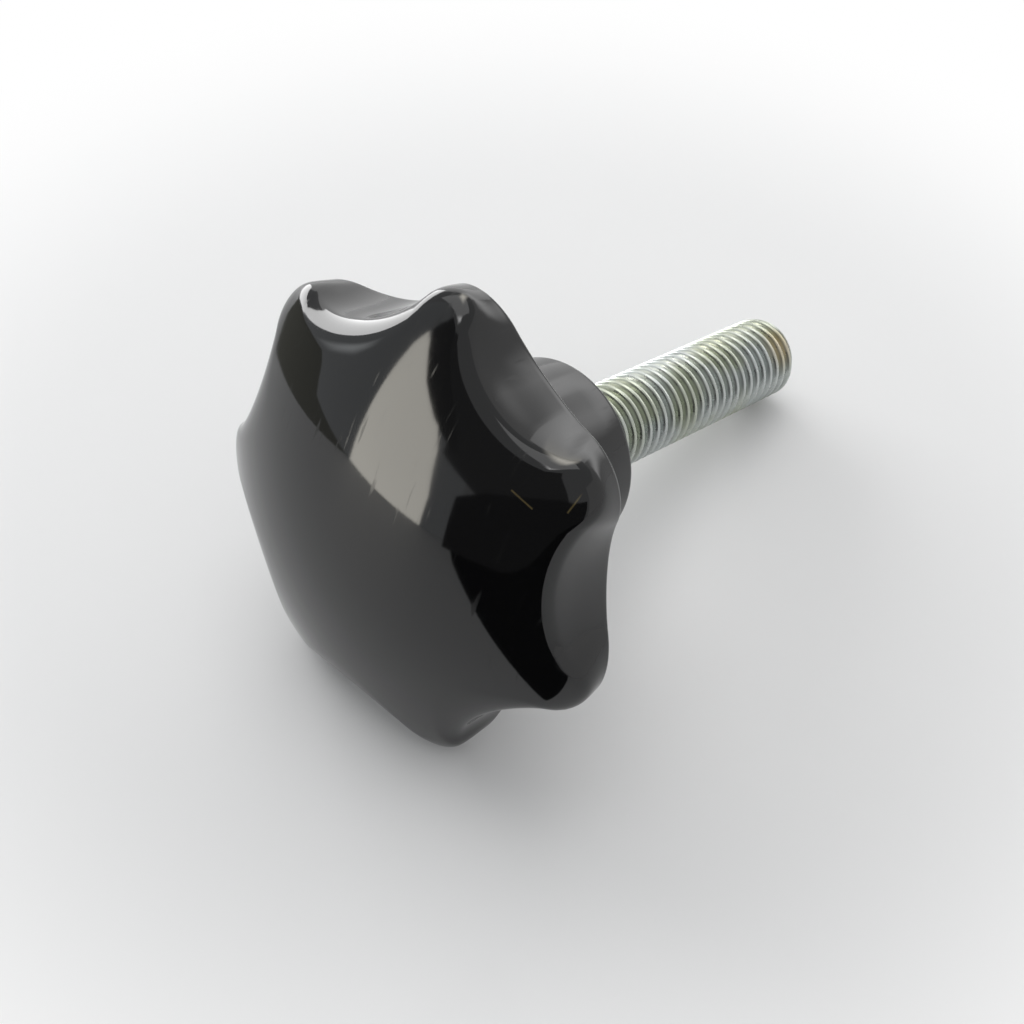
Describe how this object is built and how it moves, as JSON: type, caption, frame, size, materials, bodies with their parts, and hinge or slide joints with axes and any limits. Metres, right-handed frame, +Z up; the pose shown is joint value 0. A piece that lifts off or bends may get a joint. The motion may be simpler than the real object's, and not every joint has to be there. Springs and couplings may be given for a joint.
{
  "type": "tulip knob",
  "caption": "Glossy black moulded hand knob with rounded lobes and a zinc-plated steel threaded stud, lying on its lobes and the stud's tip.",
  "frame": {"origin": "on the floor under the middle of the whole knob as it lies", "axes": "+X the level direction in which the stud points, +Z up, and y = 0 the mirror plane through the upright lobe"},
  "size_m": [0.0884, 0.0596, 0.0569],
  "materials": {
    "black_moulding": "gloss",
    "zinc_plated_steel": "satin"
  },
  "bodies": {
    "root": {"knob_body": "black_moulding", "threaded_stud": "zinc_plated_steel"}
  },
  "joints": []
}
